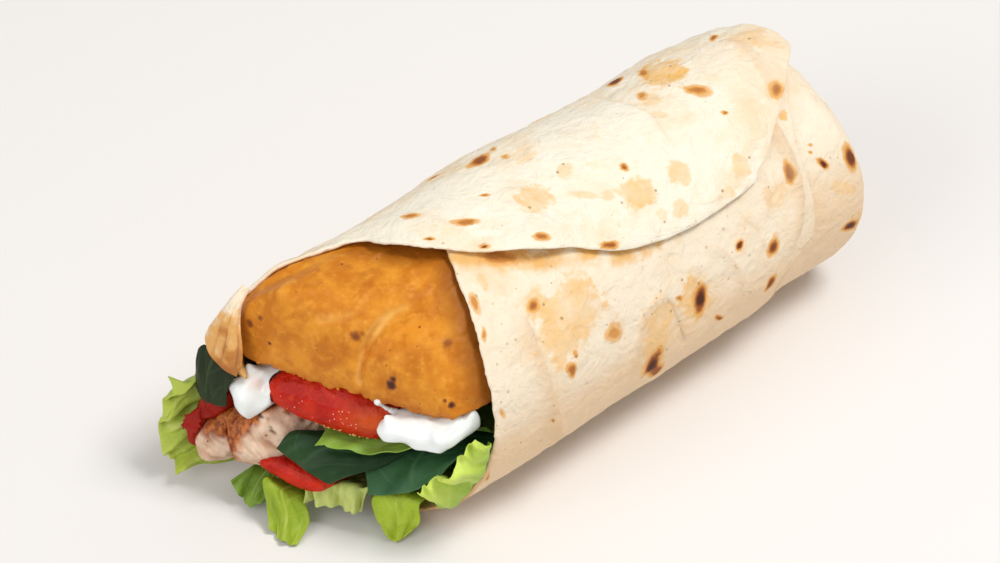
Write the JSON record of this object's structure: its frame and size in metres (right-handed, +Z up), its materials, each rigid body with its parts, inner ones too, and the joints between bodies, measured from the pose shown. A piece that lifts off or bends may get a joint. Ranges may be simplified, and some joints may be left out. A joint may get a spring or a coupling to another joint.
{
  "type": "vegetable wrap",
  "caption": "Flour tortilla rolled round a crisp golden fillet, strips of grilled filling, tomato, white sauce, lettuce and spinach, folded shut at one end and open at a slanted mouth.",
  "frame": {"origin": "centre of the footprint of the whole wrap, at the floor that it lies on", "axes": "+X along the roll from its open, slanted mouth to its folded end, +Y across it toward the side away from the camera, +Z up"},
  "size_m": [0.1644, 0.0714, 0.0652],
  "materials": {
    "tortilla": "soft matt flour tortilla, pale cream with toasted brown spots",
    "golden_crust": "crisp golden fried crust, slightly oily",
    "tomato": "wet red tomato flesh",
    "chicken": "moist grilled strips, pink-beige with an orange-brown spiced edge",
    "sauce": "smooth glossy white sauce",
    "spinach": "satin dark green leaf with fine light veins",
    "lettuce": "moist bright green leaf with pale veins"
  },
  "bodies": {
    "root": {"tortilla": "tortilla", "golden_fillet": "golden_crust", "tomato_upper": "tomato", "tomato_lower": "tomato", "tomato_left": "tomato", "chicken_right": "chicken", "chicken_left": "chicken", "sauce_left": "sauce", "sauce_right": "sauce", "spinach_mid": "spinach", "spinach_right": "spinach", "spinach_left": "spinach", "lettuce_upper": "lettuce", "lettuce_left": "lettuce", "lettuce_curl": "lettuce", "lettuce_tongue_far": "lettuce", "lettuce_pale": "lettuce", "lettuce_tongue_near": "lettuce"}
  },
  "joints": []
}
